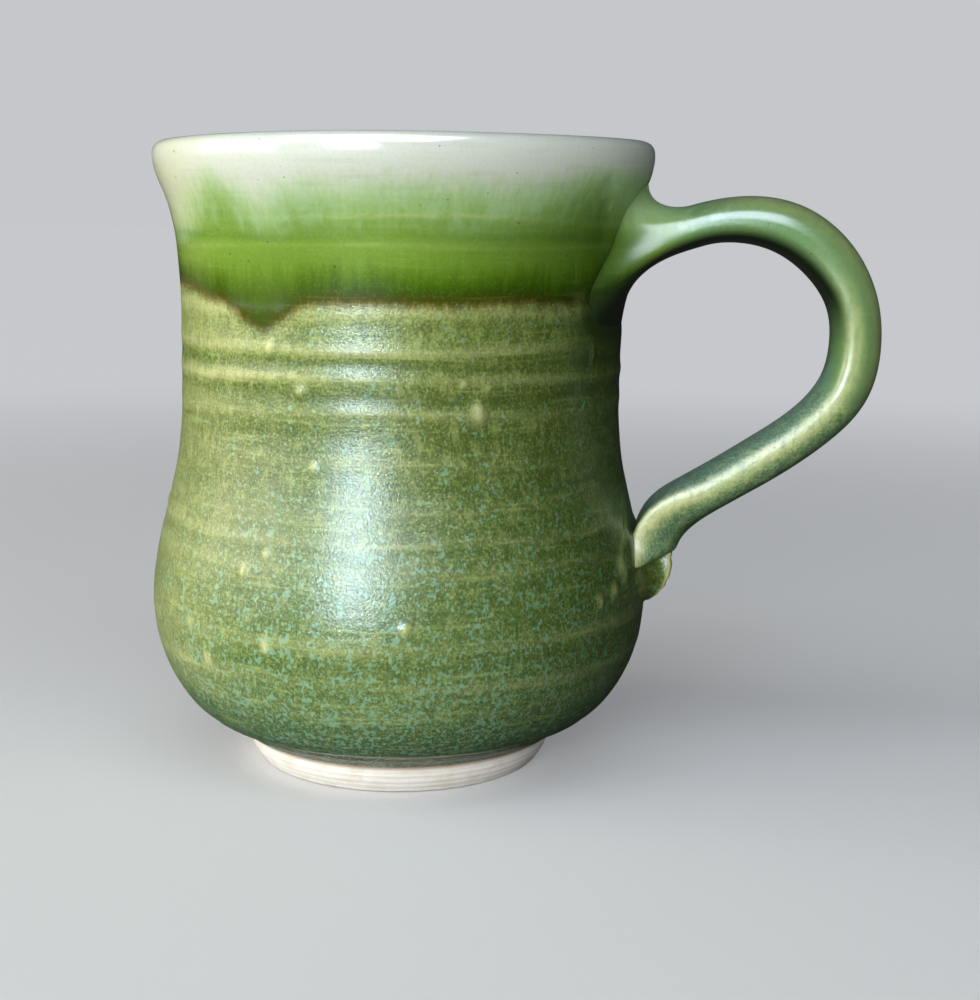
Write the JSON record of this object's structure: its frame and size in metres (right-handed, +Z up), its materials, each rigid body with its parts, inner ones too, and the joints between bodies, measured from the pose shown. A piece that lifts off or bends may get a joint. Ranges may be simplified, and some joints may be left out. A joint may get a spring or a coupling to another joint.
{
  "type": "ceramic mug",
  "caption": "Hand-thrown stoneware mug with a flared rim, rounded belly, turned foot ring and pulled strap handle, in layered green glazes.",
  "frame": {"origin": "on the mug's axis in the plane where the foot ring rests", "axes": "+Z up out of the mouth, +X towards the handle, +Y across the handle"},
  "size_m": [0.1333, 0.0924, 0.115],
  "materials": {
    "bare_stoneware": "matte unglazed pale buff stoneware with fine turning lines",
    "fired_slip": "matte fired slip of the same clay",
    "cream_glaze": "glossy cream glaze",
    "pale_rim_glaze": "glossy pale grey-green glaze, warmer where it breaks over the lip",
    "glossy_green_glaze": "glossy apple to bottle green glaze with fine vertical streaks and dark specks",
    "speckled_green_glaze": "satin olive green glaze with turquoise crystal flecks and pale throwing ridges"
  },
  "bodies": {
    "root": {"thrown_body": "bare_stoneware", "pulled_handle": "bare_stoneware", "handle_tail": "bare_stoneware", "upper_slip_weld": "fired_slip", "lower_slip_weld": "fired_slip", "liner_glaze": "cream_glaze", "rim_glaze": "pale_rim_glaze", "overlap_glaze": "glossy_green_glaze", "body_glaze": "speckled_green_glaze", "handle_glaze": "speckled_green_glaze"}
  },
  "joints": []
}
